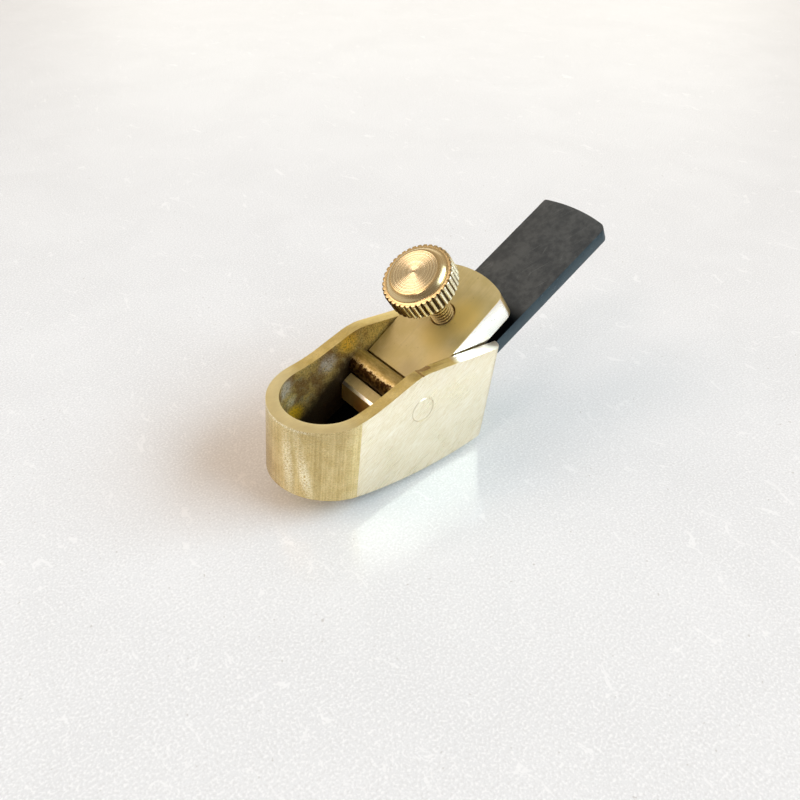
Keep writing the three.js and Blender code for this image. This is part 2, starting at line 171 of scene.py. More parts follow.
# ---------------------------------------------------------------- frames of the pieces
WALLS = Matrix.Rotation(-NOSE_UP, 4, "Y") @ Matrix.Translation((-STAND_X * MM, 0, -STAND_Z * MM))
CAP = WALLS @ Matrix.Translation((PIN_X * MM, 0, PIN_Z * MM)) @ Matrix.Rotation(CAP_SLOPE, 4, "Y")
SCREW = CAP @ Matrix.Translation((SCREW_X * MM, 0, 0))
IRON = WALLS @ Matrix.Translation((IRON_EDGE_X * MM, 0, IRON_EDGE_Z * MM)) @ Matrix.Rotation(BED, 4, "Y")


# ---------------------------------------------------------------- mesh helpers
def new_object(name, bm):
    """A mesh object from a bmesh drawn in millimetres."""
    mesh = bpy.data.meshes.new(name)
    bm.to_mesh(mesh)
    bm.free()
    obj = bpy.data.objects.new(name, mesh)
    bpy.context.scene.collection.objects.link(obj)
    return obj


def bake_modifiers(obj):
    """Replaces the object's mesh by its mesh with the modifiers applied."""
    graph = bpy.context.evaluated_depsgraph_get()
    mesh = bpy.data.meshes.new_from_object(obj.evaluated_get(graph))
    obj.modifiers.clear()
    obj.data = mesh


def boolean(obj, cutter, operation="DIFFERENCE"):
    """Cuts the object by another one, which is used up."""
    mod = obj.modifiers.new("cut", "BOOLEAN")
    mod.operation = operation
    mod.solver = "EXACT"
    mod.object = cutter
    bake_modifiers(obj)
    bpy.data.objects.remove(cutter)


def tidy_planes(obj, angle=0.4):
    """Joins faces that lie in one plane, so that bevels run cleanly."""
    bm = bmesh.new()
    bm.from_mesh(obj.data)
    bmesh.ops.remove_doubles(bm, verts=bm.verts, dist=0.002)
    bmesh.ops.dissolve_limit(
        bm, angle_limit=math.radians(angle), verts=bm.verts, edges=bm.edges, use_dissolve_boundaries=False)
    bm.to_mesh(obj.data)
    bm.free()


def bevel(obj, width, segments, angle):
    """Rounds every edge sharper than `angle` degrees."""
    mod = obj.modifiers.new("edge", "BEVEL")
    mod.width = width
    mod.segments = segments
    mod.limit_method = "ANGLE"
    mod.angle_limit = math.radians(angle)
    mod.use_clamp_overlap = True
    mod.miter_outer = "MITER_ARC"
    bake_modifiers(obj)


def shade(obj, angle):
    """Smooth shading, apart from edges sharper than `angle` degrees."""
    for poly in obj.data.polygons:
        poly.use_smooth = True
    obj.data.set_sharp_from_angle(angle=math.radians(angle))


def to_metres(obj, matrix):
    """Puts a mesh drawn in millimetres in its own frame at its place in the shared frame."""
    obj.data.transform(matrix @ Matrix.Scale(MM, 4))
    obj.data.update()


def prism(name, outline, low, high):
    """A closed outline in X-Y raised from low to high."""
    bm = bmesh.new()
    bottom = [bm.verts.new((x, y, low)) for x, y in outline]
    top = [bm.verts.new((x, y, high)) for x, y in outline]
    n = len(outline)
    bm.faces.new(list(reversed(bottom)))
    bm.faces.new(top)
    for i in range(n):
        j = (i + 1) % n
        bm.faces.new((bottom[i], bottom[j], top[j], top[i]))
    bmesh.ops.recalc_face_normals(bm, faces=bm.faces)
    return new_object(name, bm)


def bar(name, outline, half_width, steps=1):
    """A closed outline in X-Z made into a bar across Y."""
    bm = bmesh.new()
    rings = []
    for k in range(steps + 1):
        y = -half_width + 2 * half_width * k / steps
        rings.append([bm.verts.new((x, y, z)) for x, z in outline])
    n = len(outline)
    bm.faces.new(rings[0])
    bm.faces.new(list(reversed(rings[-1])))
    for a, b in zip(rings, rings[1:]):
        for i in range(n):
            j = (i + 1) % n
            bm.faces.new((a[i], b[i], b[j], a[j]))
    bmesh.ops.recalc_face_normals(bm, faces=bm.faces)
    return new_object(name, bm)


def lathe(name, profile, segments, axis="Z"):
    """A closed solid of revolution; the profile is (radius, height) from axis to axis."""
    bm = bmesh.new()
    rings = []
    for r, h in profile:
        if r < 1e-6:
            rings.append([bm.verts.new((0, 0, h))])
        else:
            turns = [2 * math.pi * k / segments for k in range(segments)]
            rings.append([bm.verts.new((r * math.cos(a), r * math.sin(a), h)) for a in turns])
    for a, b in zip(rings, rings[1:]):
        for k in range(segments):
            j = (k + 1) % segments
            if len(a) == 1 and len(b) == 1:
                continue
            if len(a) == 1:
                bm.faces.new((a[0], b[j], b[k]))
            elif len(b) == 1:
                bm.faces.new((a[k], a[j], b[0]))
            else:
                bm.faces.new((a[k], a[j], b[j], b[k]))
    bmesh.ops.recalc_face_normals(bm, faces=bm.faces)
    if axis == "Y":
        bmesh.ops.rotate(bm, verts=bm.verts, cent=(0, 0, 0), matrix=Matrix.Rotation(math.pi / 2, 3, "X"))
    return new_object(name, bm)


def arc(cx, cy, r, start, end, count):
    """Points of an arc, both ends included; angles in radians."""
    angles = [start + (end - start) * i / count for i in range(count + 1)]
    return [(cx + r * math.cos(a), cy + r * math.sin(a)) for a in angles]


def round_ended_strip(start_x, end_x, half_width, end_r, left_r, right_r, count):
    """A strip with parallel sides that ends at end_x in a wide arc with two rounded corners."""
    centre_x = end_x + end_r

    def corner(radius):
        y = half_width - radius
        x = centre_x - math.sqrt((end_r - radius) ** 2 - y ** 2)
        return x, y, math.atan2(y, centre_x - x)

    lx, ly, lturn = corner(left_r)
    rx, ry, rturn = corner(right_r)
    pts = [(start_x, -half_width), (start_x, half_width)]
    pts += arc(lx, ly, left_r, math.pi / 2, math.pi - lturn, 10)
    pts += arc(centre_x, 0, end_r, math.pi - lturn, math.pi + rturn, count)[1:-1]
    pts += arc(rx, -ry, right_r, math.pi + rturn, 1.5 * math.pi, 10)
    return pts


# ---------------------------------------------------------------- body
def wall_top():
    """The top edge of the walls as (x, z) points from the nose to the rear."""
    nose_x = NOSE_X + HALF_W

    def line(x):
        return TOP_NOSE_Z + TOP_NOSE_SLOPE * (nose_x - x)

    knee_x = (line(0) - PEAK_Z - TOP_RISE_SLOPE * PEAK_X) / (TOP_NOSE_SLOPE - TOP_RISE_SLOPE)
    lower, upper = math.atan(TOP_NOSE_SLOPE), math.atan(TOP_RISE_SLOPE)
    tangent = TOP_BLEND_R * math.tan((upper - lower) / 2)
    sx = knee_x + tangent * math.cos(lower)
    sz = line(knee_x) - tangent * math.sin(lower)
    cx = sx + TOP_BLEND_R * math.sin(lower)
    cz = sz + TOP_BLEND_R * math.cos(lower)
    blend = arc(cx, cz, TOP_BLEND_R, -math.pi / 2 - lower, -math.pi / 2 - upper, 16)
    fall = math.atan(TOP_REAR_SLOPE)
    reach = PEAK_R * math.tan((upper + fall) / 2)
    crest = arc(
        PEAK_X + reach * math.cos(upper) - PEAK_R * math.sin(upper),
        PEAK_Z - reach * math.sin(upper) - PEAK_R * math.cos(upper),
        PEAK_R, math.pi / 2 - upper, math.pi / 2 + fall, 12)
    rear = (-FAR, PEAK_Z - TOP_REAR_SLOPE * (FAR + PEAK_X))
    return [(nose_x + 5, line(nose_x + 5))] + blend + crest + [rear]


def sole_z(x, y):
    """Height of the sole, convex lengthwise and crosswise."""
    return x * x / (2 * SOLE_RX) + y * y / (2 * SOLE_RY)


def body_outline():
    """The plane from above: a round nose and two rounded rear corners."""
    rear = REAR_X + REAR_R
    side = HALF_W - REAR_R
    pts = arc(NOSE_X, 0, HALF_W, -math.pi / 2, math.pi / 2, 96)
    pts += arc(rear, side, REAR_R, math.pi / 2, math.pi, 12)
    pts += arc(rear, -side, REAR_R, math.pi, 1.5 * math.pi, 12)
    return pts


def heel_cutter():
    """Everything outside the arc that joins the rear face to the sole."""
    x0 = REAR_X + HEEL_R
    slope = x0 / SOLE_RX
    z0 = sole_z(x0, 0)
    # the arc's centre is HEEL_R away from both lines
    low = z0 - slope * x0 + HEEL_R * math.hypot(1, slope)
    cz = (low + slope * (REAR_X + HEEL_R * math.hypot(1, REAR_LEAN))) / (1 + slope * REAR_LEAN)
    cx = REAR_X - REAR_LEAN * cz + HEEL_R * math.hypot(1, REAR_LEAN)
    start = -math.pi / 2 + math.atan(slope)
    end = -math.pi + math.atan(REAR_LEAN)
    curve = arc(cx, cz, HEEL_R, start, end, 14)
    cutter = bar("heel", curve + [(-40, curve[-1][1]), (-40, -12), (curve[0][0], -12)], 12, 24)
    for v in cutter.data.vertices:
        v.co.z += v.co.y ** 2 / (2 * SOLE_RY)
    return cutter


def nick_cutter():
    """A shallow dent in the inner edge of the left wall's top, beside the pin."""
    bm = bmesh.new()
    bmesh.ops.create_icosphere(bm, subdivisions=4, radius=1.0)
    for v in bm.verts:
        v.co *= 1 + 0.06 * noise.noise(v.co * 1.7)
        v.co = (v.co.x * NICK_SIZE[0], v.co.y * NICK_SIZE[1], v.co.z * NICK_SIZE[2])
    bmesh.ops.rotate(bm, verts=bm.verts, cent=(0, 0, 0), matrix=Matrix.Rotation(NICK_TURN, 3, "Z"))
    bmesh.ops.translate(bm, verts=bm.verts, vec=NICK)
    return new_object("nick", bm)


def under_sole():
    """The space under the sole: a fine grid curved both ways, closed below."""
    start_x, length, half_width, low_z = -20, 46, 12, -9
    nx, ny = 60, 30
    bm = bmesh.new()
    grid = []
    for i in range(nx + 1):
        x = start_x + length * i / nx
        grid.append([bm.verts.new((x, -half_width + 2 * half_width * j / ny, 0)) for j in range(ny + 1)])
    for column in grid:
        for v in column:
            v.co.z = sole_z(v.co.x, v.co.y)
    low = [[bm.verts.new((v.co.x, v.co.y, low_z)) for v in column] for column in grid]
    for i in range(nx):
        for j in range(ny):
            bm.faces.new((grid[i][j], grid[i + 1][j], grid[i + 1][j + 1], grid[i][j + 1]))
            bm.faces.new((low[i][j], low[i][j + 1], low[i + 1][j + 1], low[i + 1][j]))
    for i in range(nx):
        bm.faces.new((grid[i][0], low[i][0], low[i + 1][0], grid[i + 1][0]))
        bm.faces.new((grid[i][ny], grid[i + 1][ny], low[i + 1][ny], low[i][ny]))
    for j in range(ny):
        bm.faces.new((grid[0][j], grid[0][j + 1], low[0][j + 1], low[0][j]))
        bm.faces.new((grid[nx][j], low[nx][j], low[nx][j + 1], grid[nx][j + 1]))
    bmesh.ops.recalc_face_normals(bm, faces=bm.faces)
    return new_object("under", bm)


def make_hollow():
    """The space between the walls, down to the bed and through the mouth."""
    plan = arc(NOSE_X, 0, CAV_HALF_W, -math.pi / 2, math.pi / 2, 72)
    plan += [(-FAR, CAV_HALF_W), (-FAR, -CAV_HALF_W)]
    hollow = prism("hollow", plan, -FAR, FAR)
    under_iron = IRON_EDGE_Z - (IRON_T + SEAT_GAP) / math.cos(BED)

    def bed_z(x):
        return under_iron + math.tan(BED) * (IRON_EDGE_X - x)

    below = IRON_EDGE_X + 0.5
    mouth_x = MOUTH_FRONT[0][0]
    floor_z = MOUTH_FRONT[-1][1]
    side = [(-FAR, bed_z(-FAR)), (below, bed_z(below)), (mouth_x, bed_z(below)), *MOUTH_FRONT,
            (FAR, floor_z), (FAR, FAR), (-FAR, FAR)]
    boolean(hollow, bar("hollow_side", side, FAR), "INTERSECT")
    return hollow


def pin_hole():
    """The bore for the cross pin through both walls."""
    radius, reach = PIN_R + PIN_FIT, 30
    hole = lathe("pin_hole", [(0, -reach), (radius, -reach), (radius, reach), (0, reach)], 96, "Y")
    hole.data.transform(Matrix.Translation((PIN_X, 0, PIN_Z)))
    return hole


def make_body():
    """The casting: sole, walls, round nose and bed in one piece."""
    body = prism("plane_body", body_outline(), -5, 30)
    for v in body.data.vertices:
        if v.co.x < 0:
            v.co.x -= REAR_LEAN * v.co.z
    top = wall_top()
    boolean(body, bar("top", [(top[0][0], -6)] + top + [(-FAR, -6)], 30), "INTERSECT")
    boolean(body, under_sole())
    boolean(body, make_hollow())
    boolean(body, heel_cutter())
    tidy_planes(body)
    bevel(body, width=0.16, segments=3, angle=24)
    boolean(body, pin_hole())
    boolean(body, nick_cutter())
    return body


body = make_body()
shade(body, 35)
to_metres(body, WALLS)
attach(body, "body")
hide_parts("body")


# ---------------------------------------------------------------- cross pin
def make_pin():
    """The cross pin, flush with the cheeks."""
    inner, end = PIN_R - PIN_CHAMFER, HALF_W - PIN_CHAMFER
    profile = [(0, -HALF_W), (inner, -HALF_W), (PIN_R, -end), (PIN_R, end), (inner, HALF_W), (0, HALF_W)]
    pin = lathe("cross_pin_bar", profile, 96, "Y")
    pin.data.transform(Matrix.Translation((PIN_X, 0, PIN_Z)))
    return pin


pin = make_pin()
shade(pin, 30)
to_metres(pin, WALLS)
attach(pin, "body")
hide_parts("cross_pin")


# ---------------------------------------------------------------- lever cap
def make_cap():
    """The lever cap: a thick block with a slot under the pin, a rounded rear and the screw's hole."""
    side = [(-FAR, CAP_TOP), (-FAR, CAP_UNDER_REAR), (CAP_REAR_X, CAP_UNDER_REAR), CAP_UNDER_TOE, LIP_CORNER,
            (LIP_EDGE_X, LIP_TOP - LIP_BREAK_Z), (LIP_EDGE_X - LIP_BREAK_X, LIP_TOP), (SLOT_R, LIP_TOP)]
    side += arc(0, 0, SLOT_R, 0, -math.pi, 28)
    side += [(-SLOT_R, CAP_TOP)]
    plan = round_ended_strip(FAR, CAP_REAR_X, CAP_HALF_W, CAP_END_R, CAP_CORNER_R, CAP_CORNER_R, 28)
    cap = prism("lever_cap_block", plan, -10, 10)
    boolean(cap, bar("cap_side", side, 30), "INTERSECT")
    tidy_planes(cap)
    bevel(cap, width=0.08, segments=2, angle=28)
    above = CAP_TOP + 0.2
    hole = lathe("hole", [
        (0, -20), (SCREW_HOLE_R, -20), (SCREW_HOLE_R, CAP_TOP - 0.22),
        (SCREW_HOLE_RIM_R, above), (0, above)], 64)
    hole.data.transform(Matrix.Translation((SCREW_X, 0, 0)))
    boolean(cap, hole)
    return cap


cap = make_cap()
shade(cap, 30)
to_metres(cap, CAP)
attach(cap, "lever_cap")
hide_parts("lever_cap")


# ---------------------------------------------------------------- thumbscrew
def head_rows():
    """The head's profile from under its middle to the top: (radius, height, knurled)."""
    rows = [(0.0, HEAD_LOW, False), (2.06, HEAD_LOW, False), (4.9, HEAD_LOW, False), (5.45, HEAD_LOW, False)]
    quarter = [t / 4 * math.pi / 2 for t in range(1, 5)]
    low, top = HEAD_LOW_ROUND, HEAD_TOP_ROUND
    for a in quarter:
        rows.append((HEAD_R - low + low * math.sin(a), HEAD_LOW + low - low * math.cos(a), True))
    for t in range(1, 6):
        rows.append((HEAD_R, HEAD_LOW + low + (HEAD_SHOULDER - HEAD_LOW - (low + top)) * t / 5, True))
    for a in quarter:
        rows.append((HEAD_R - top + top * math.cos(a), HEAD_SHOULDER - top + top * math.sin(a), True))
    rows += [(5.5, HEAD_SHOULDER, False), (DISC_R + 0.12, HEAD_SHOULDER, False),
             (DISC_R, HEAD_SHOULDER + 0.05, False), (DISC_R, HEAD_SHOULDER + 0.16, False)]
    r, z = DISC_R, HEAD_SHOULDER + 0.08
    for slope in DISC_EDGE_SLOPES:
        step = 0.06 if slope > 55 else 0.09
        r -= step
        z += step * math.tan(math.radians(slope))
        rows.append((r, z, False))
    # turned face: shallow concentric grooves
    halves = 2 * int(r / GROOVE_PITCH)
    for t in range(1, halves):
        rr = r * (1 - t / halves)
        rows.append((rr, z + CROWN_SLOPE * (r - rr) - (GROOVE_DEPTH if t % 2 else 0.0), False))
    rows.append((0.0, z + CROWN_SLOPE * r - CENTRE_DIMPLE, False))
    return rows


def make_head():
    """Knurled rim, flat shoulder and a raised, slightly crowned disc."""
    per = len(KNURL_TOOTH)
    n = KNURL_TEETH * per
    bm = bmesh.new()
    rings = []
    for r, z, knurled in head_rows():
        if r < 1e-6:
            rings.append([bm.verts.new((0, 0, z))])
            continue
        ring = []
        for i in range(n):
            a = 2 * math.pi * i / n
            limit = HEAD_R - KNURL_DEPTH * (1 - KNURL_TOOTH[i % per])
            rr = min(r, limit) if knurled else r
            ring.append(bm.verts.new((rr * math.cos(a), rr * math.sin(a), z)))
        rings.append(ring)
    for a, b in zip(rings, rings[1:]):
        for i in range(n):
            j = (i + 1) % n
            if len(a) == 1:
                bm.faces.new((a[0], b[j], b[i]))
            elif len(b) == 1:
                bm.faces.new((a[i], a[j], b[0]))
            else:
                bm.faces.new((a[i], a[j], b[j], b[i]))
    bmesh.ops.recalc_face_normals(bm, faces=bm.faces)
    return new_object("screw_head", bm)


head = make_head()
shade(head, 34)
for poly in head.data.polygons:
    # the turned grooves keep crisp flanks
    if poly.center.z > HEAD_SHOULDER + 0.8 and math.hypot(poly.center.x, poly.center.y) < TURNED_FACE_R:
        poly.use_smooth = False
to_metres(head, SCREW)
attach(head, "screw_head")
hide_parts("thumbscrew_head")


def make_stud():
    """M4 thread, 0.7 mm pitch: the rows of the mesh follow the helix."""
    high = HEAD_LOW + 0.3
    around, per_pitch = 48, len(THREAD_FORM)
    bm = bmesh.new()
    total = int((high - STUD_LOW) / THREAD_PITCH * per_pitch)
    rings = []
    for j in range(-per_pitch, total + 1):
        ring = []
        for i in range(around):
            a = 2 * math.pi * i / around
            z = min(max(STUD_LOW + (j / per_pitch + i / around) * THREAD_PITCH, STUD_LOW), high)
            # the thread fades out under the head, and the tip tapers
            fade = min(max((HEAD_LOW - 0.9 - z) / 0.5, 0), 1)
            r = STUD_R - THREAD_DEPTH * (1 - THREAD_FORM[j % per_pitch]) * fade
            r -= 0.55 * max(0, STUD_LOW + 0.8 - z)
            ring.append(bm.verts.new((r * math.cos(a), r * math.sin(a), z)))
        rings.append(ring)
    for a, b in zip(rings, rings[1:]):
        for i in range(around - 1):
            bm.faces.new((a[i], a[i + 1], b[i + 1], b[i]))
    # each row's end meets the start of the row one pitch on
    for j in range(len(rings) - per_pitch - 1):
        a, b, c, d = rings[j], rings[j + 1], rings[j + per_pitch], rings[j + per_pitch + 1]
        bm.faces.new((a[-1], c[0], d[0], b[-1]))
    bmesh.ops.remove_doubles(bm, verts=bm.verts, dist=0.001)
    bmesh.ops.holes_fill(bm, edges=bm.edges, sides=0)
    bmesh.ops.recalc_face_normals(bm, faces=bm.faces)
    return new_object("screw_stud", bm)


stud = make_stud()
shade(stud, 50)
to_metres(stud, SCREW)
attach(stud, "screw_stud")
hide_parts("thumbscrew_stud")


# ---------------------------------------------------------------- iron
def make_iron():
    """The blade: a flat bar with a curved cutting edge, ground below, and a rounded rear end."""
    grind = IRON_T / math.tan(IRON_GRIND)
    side = [(0, 0), (-80, 0), (-80, -IRON_T), (-grind, -IRON_T), (0, -0.05)]
    blank = bar("iron_blank", side, IRON_HALF_W + 1, 40)
    for v in blank.data.vertices:
        if v.co.x > -grind - 0.1:
            v.co.x -= v.co.y ** 2 / (2 * IRON_EDGE_R)
    plan = round_ended_strip(5, -IRON_L, IRON_HALF_W, IRON_END_R, IRON_LEFT_R, IRON_RIGHT_R, 30)
    boolean(blank, prism("iron_plan", plan, -6, 6), "INTERSECT")
    tidy_planes(blank)
    bevel(blank, width=0.09, segments=2, angle=30)
    blank.name = "iron_blade"
    return blank


iron = make_iron()
shade(iron, 30)
to_metres(iron, IRON)
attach(iron, "iron")
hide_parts("iron")


# ---------------------------------------------------------------- materials
class Shader:
    """A material's node tree around one Principled shader."""

    def __init__(self, name, frame_matrix):
        self.material = bpy.data.materials.new(name)
        self.material.use_nodes = True
        self.tree = self.material.node_tree
        self.tree.nodes.clear()
        out = self.add("ShaderNodeOutputMaterial")
        self.bsdf = self.add("ShaderNodeBsdfPrincipled")
        self.tree.links.new(self.bsdf.outputs[0], out.inputs[0])
        self.mm = self.local(frame_matrix)

    def add(self, kind, **settings):
        node = self.tree.nodes.new(kind)
        for key, value in settings.items():
            setattr(node, key, value)
        return node

    def plug(self, socket, value):
        if isinstance(value, bpy.types.NodeSocket):
            self.tree.links.new(value, socket)
        else:
            socket.default_value = value

    def set(self, **values):
        for key, value in values.items():
            name = key.replace("_", " ").title().replace("Ior", "IOR")
            self.plug(self.bsdf.inputs[name], value)

    def local(self, matrix):
        """Object coordinates turned into millimetres in a piece's own frame."""
        inverse = matrix.inverted()
        node = self.add("ShaderNodeMapping")
        node.inputs["Scale"].default_value = (1 / MM,) * 3
        node.inputs["Rotation"].default_value = inverse.to_euler("XYZ")
        node.inputs["Location"].default_value = inverse.translation / MM
        self.tree.links.new(self.add("ShaderNodeTexCoord").outputs["Object"], node.inputs["Vector"])
        return node.outputs["Vector"]

    def warp(self, vector, scale=(1, 1, 1), rotation=(0, 0, 0), location=(0, 0, 0)):
        node = self.add("ShaderNodeMapping")
        self.plug(node.inputs["Vector"], vector)
        node.inputs["Scale"].default_value = scale
        node.inputs["Rotation"].default_value = rotation
        node.inputs["Location"].default_value = location
        return node.outputs["Vector"]

    def noise(self, vector, scale, detail=3.0, rough=0.55, distortion=0.0):
        node = self.add("ShaderNodeTexNoise")
        self.plug(node.inputs["Vector"], vector)
        self.plug(node.inputs["Scale"], scale)
        self.plug(node.inputs["Detail"], detail)
        self.plug(node.inputs["Roughness"], rough)
        self.plug(node.inputs["Distortion"], distortion)
        return node.outputs[0]

    def calc(self, operation, a, b=None):
        node = self.add("ShaderNodeMath", operation=operation)
        self.plug(node.inputs[0], a)
        if b is not None:
            self.plug(node.inputs[1], b)
        return node.outputs[0]

    def fit(self, value, low, high, to_low=0.0, to_high=1.0, smooth=True):
        node = self.add("ShaderNodeMapRange")
        node.interpolation_type = "SMOOTHSTEP" if smooth else "LINEAR"
        for socket, v in zip(node.inputs, (value, low, high, to_low, to_high)):
            self.plug(socket, v)
        return node.outputs[0]

    def mix(self, factor, a, b, blend="MIX"):
        """Mixes two colours; each is a socket or a tuple of three numbers."""
        node = self.add("ShaderNodeMix", data_type="RGBA", blend_type=blend)
        self.plug(node.inputs[0], factor)
        self.plug(node.inputs[6], (*a, 1) if isinstance(a, tuple) else a)
        self.plug(node.inputs[7], (*b, 1) if isinstance(b, tuple) else b)
        return node.outputs[2]

    def split(self, vector):
        node = self.add("ShaderNodeSeparateXYZ")
        self.plug(node.inputs[0], vector)
        return node.outputs

    def spot(self, centre, inner, outer):
        """1 within `inner` mm of a centre, falling to 0 at `outer` mm."""
        node = self.add("ShaderNodeVectorMath", operation="DISTANCE")
        self.plug(node.inputs[0], self.mm)
        node.inputs[1].default_value = centre
        return self.fit(node.outputs["Value"], inner, outer, 1.0, 0.0)

    def bump(self, height, depth_mm):
        node = self.add("ShaderNodeBump")
        node.inputs["Strength"].default_value = 1.0
        node.inputs["Distance"].default_value = depth_mm * MM
        self.plug(node.inputs["Height"], height)
        return node.outputs[0]


class Sky(Shader):
    """The world's node tree, with the same helpers as a material's."""

    def __init__(self, tree):
        self.tree = tree


def lined(s, rotation, pitch, length, location=(0, 0, 0)):
    """Turns the frame first, then draws the noise out along the turned X."""
    turned = s.warp(s.mm, rotation=rotation, location=location)
    return s.warp(turned, scale=(1 / length, 1 / pitch, 1 / pitch))


def side_brass():
    """Flat cheeks, linished on a belt: pale, partly from the linishing and partly a painted sheen, with fine
    diagonal scratches and a few deeper ones.
    """
    s = Shader("brass_linished_side", WALLS)
    fine = s.noise(lined(s, (0, math.radians(-32), 0), 0.09, 1.6), 1.0, 2.0, 0.6)
    cross = s.noise(lined(s, (0, math.radians(-50), 0), 0.11, 1.2, (3, 1, 7)), 1.0, 2.0, 0.6)
    deep = s.noise(lined(s, (0, math.radians(-25), 0), 0.16, 9.0, (1, 4, 2)), 1.0, 1.0, 0.5)
    deep = s.fit(deep, 0.66, 0.74)
    cloud = s.noise(s.mm, 0.22, 3.0, 0.6)
    grain = s.noise(s.mm, 7.0, 2.0, 0.6)
    tone = s.mix(s.fit(cloud, 0.3, 0.7), SIDE_LOW, SIDE_HIGH)
    streak = s.mix(s.fit(s.calc("ADD", fine, cross), 0.75, 1.25), (0.82, 0.74, 0.58), (1.0, 1.0, 1.0))
    color = s.mix(0.8, tone, streak, "MULTIPLY")
    speck = s.fit(grain, 0.68, 0.76)
    color = s.mix(s.calc("MULTIPLY", speck, 0.35), color, (0.42, 0.34, 0.20))
    color = s.mix(s.calc("MULTIPLY", deep, 0.45), color, (0.55, 0.46, 0.28))
    rough = s.fit(s.calc("ADD", fine, cloud), 0.7, 1.3, 0.24, 0.40, False)
    height = s.calc("SUBTRACT", s.calc("ADD", fine, cross), s.calc("MULTIPLY", deep, 0.5))
    s.set(base_color=color, metallic=1.0, roughness=rough, normal=s.bump(height, 0.004))
    return s.material


def nose_brass():
    """The round nose, linished round its curve: horizontal scratches that smear reflections upright."""
    s = Shader("brass_linished_nose", WALLS)
    xyz = s.split(s.mm)
    # unroll the curve: arc length, height
    angle = s.calc("ARCTAN2", xyz[1], s.calc("SUBTRACT", xyz[0], NOSE_X))
    flat = s.add("ShaderNodeCombineXYZ")
    s.plug(flat.inputs[0], s.calc("MULTIPLY", angle, HALF_W))
    s.plug(flat.inputs[1], xyz[2])
    unrolled = flat.outputs[0]
    fine = s.noise(s.warp(unrolled, scale=(0.5, 9.0, 1)), 1.0, 3.0, 0.6)
    dash = s.noise(s.warp(unrolled, scale=(2.6, 6.0, 1), location=(5, 3, 0)), 1.0, 2.0, 0.65)
    upright = s.noise(s.warp(unrolled, scale=(2.6, 0.05, 1)), 1.0, 3.0, 0.6)
    cloud = s.noise(s.mm, 0.35, 3.0, 0.6)
    grain = s.noise(s.mm, 6.0, 3.0, 0.65)
    tone = s.mix(s.fit(cloud, 0.3, 0.7), NOSE_LOW, NOSE_HIGH)
    streak = s.mix(s.fit(s.calc("ADD", dash, upright), 0.78, 1.22), (0.60, 0.55, 0.43), (1.0, 1.0, 1.0))
    color = s.mix(0.75, tone, streak, "MULTIPLY")
    color = s.mix(s.calc("MULTIPLY", s.fit(grain, 0.60, 0.70), 0.45), color, (0.35, 0.26, 0.11))
    # two upright painted highlight bands, broken up by the scratches
    for middle, lean, half, most, fades in NOSE_HIGHLIGHT_BANDS:
        foot, top = math.radians(middle - 10 * lean), math.radians(middle + 10 * lean)
        line = s.fit(xyz[2], 0.0, 20.0, foot, top, False)
        away = s.calc("ABSOLUTE", s.calc("SUBTRACT", angle, line))
        band = s.fit(away, math.radians(half * 0.2), math.radians(half), most, 0.0)
        band = s.calc("MULTIPLY", band, s.fit(xyz[2], fades - 6.0, fades, 1.0, 0.25))
        band = s.calc("MULTIPLY", band, s.fit(xyz[2], 2.5, 7.5, 0.1, 1.0))
        color = s.mix(s.calc("MULTIPLY", band, s.fit(dash, 0.42, 0.56)), color, (1.0, 0.93, 0.68))
    # a painted highlight along the top corner too, in a broken line just under the rim that stops short of
    # the left cheek
    below = s.calc("ADD", xyz[2], s.calc("MULTIPLY", xyz[0], TOP_NOSE_SLOPE))
    rim_line = TOP_NOSE_Z + TOP_NOSE_SLOPE * (NOSE_X + HALF_W)
    lip = s.calc("MULTIPLY", s.fit(below, rim_line - 0.6, rim_line - 0.3), s.fit(grain, 0.50, 0.58))
    lip = s.calc("MULTIPLY", lip, s.fit(angle, 0.55, 0.85, 1.0, 0.0))
    color = s.mix(lip, color, (1.0, 0.95, 0.72))
    rough = s.fit(s.calc("ADD", fine, grain), 0.7, 1.3, 0.20, 0.36, False)
    height = s.calc("ADD", fine, s.calc("MULTIPLY", dash, 0.6))
    s.set(base_color=color, metallic=1.0, roughness=rough, normal=s.bump(height, 0.022))
    return s.material


def rim_brass(name, low, high, highlight_and_tone=False):
    """Filed faces; `highlight_and_tone` adds a painted highlight at the rear of the left wall and makes them
    paler towards the nose.
    """
    s = Shader(name, WALLS)
    fine = s.noise(s.warp(s.mm, scale=(0.25, 7.0, 7.0)), 1.0, 2.0, 0.6)
    cloud = s.noise(s.mm, 0.5, 3.0, 0.6)
    grain = s.noise(s.mm, 5.0, 3.0, 0.65)
    tone = s.mix(s.fit(cloud, 0.3, 0.7), low, high)
    color = s.mix(s.calc("MULTIPLY", s.fit(grain, 0.6, 0.72), 0.45), tone, (0.42, 0.30, 0.12))
    color = s.mix(s.fit(fine, 0.35, 0.65, 0.25, 0.0), color, (0.50, 0.38, 0.18))
    if highlight_and_tone:
        # painted highlight at the rear of the left wall's top
        color = s.mix(s.spot((-15.0, 9.5, 21.0), 7.8, 9.4), color, (0.97, 0.94, 0.84))
        color = s.mix(s.fit(s.split(s.mm)[0], 11.0, 16.0, 0.0, 0.6), color, (1.0, 0.93, 0.60))
    rough = s.fit(s.calc("ADD", fine, cloud), 0.7, 1.3, 0.30, 0.46, False)
    s.set(base_color=color, metallic=1.0, roughness=rough, normal=s.bump(s.calc("ADD", fine, grain), 0.006))
    return s.material


def dent_brass():
    """The dent in the edge of the left wall, dark with painted shade."""
    s = Shader("brass_dent", WALLS)
    grain = s.noise(s.mm, 6.0, 3.0, 0.65)
    color = s.mix(s.fit(grain, 0.35, 0.65), (0.22, 0.12, 0.03), (0.33, 0.20, 0.06))
    rough = s.fit(grain, 0.3, 0.7, 0.45, 0.6)
    s.set(base_color=color, metallic=0.2, roughness=rough, normal=s.bump(grain, 0.01))
    return s.material


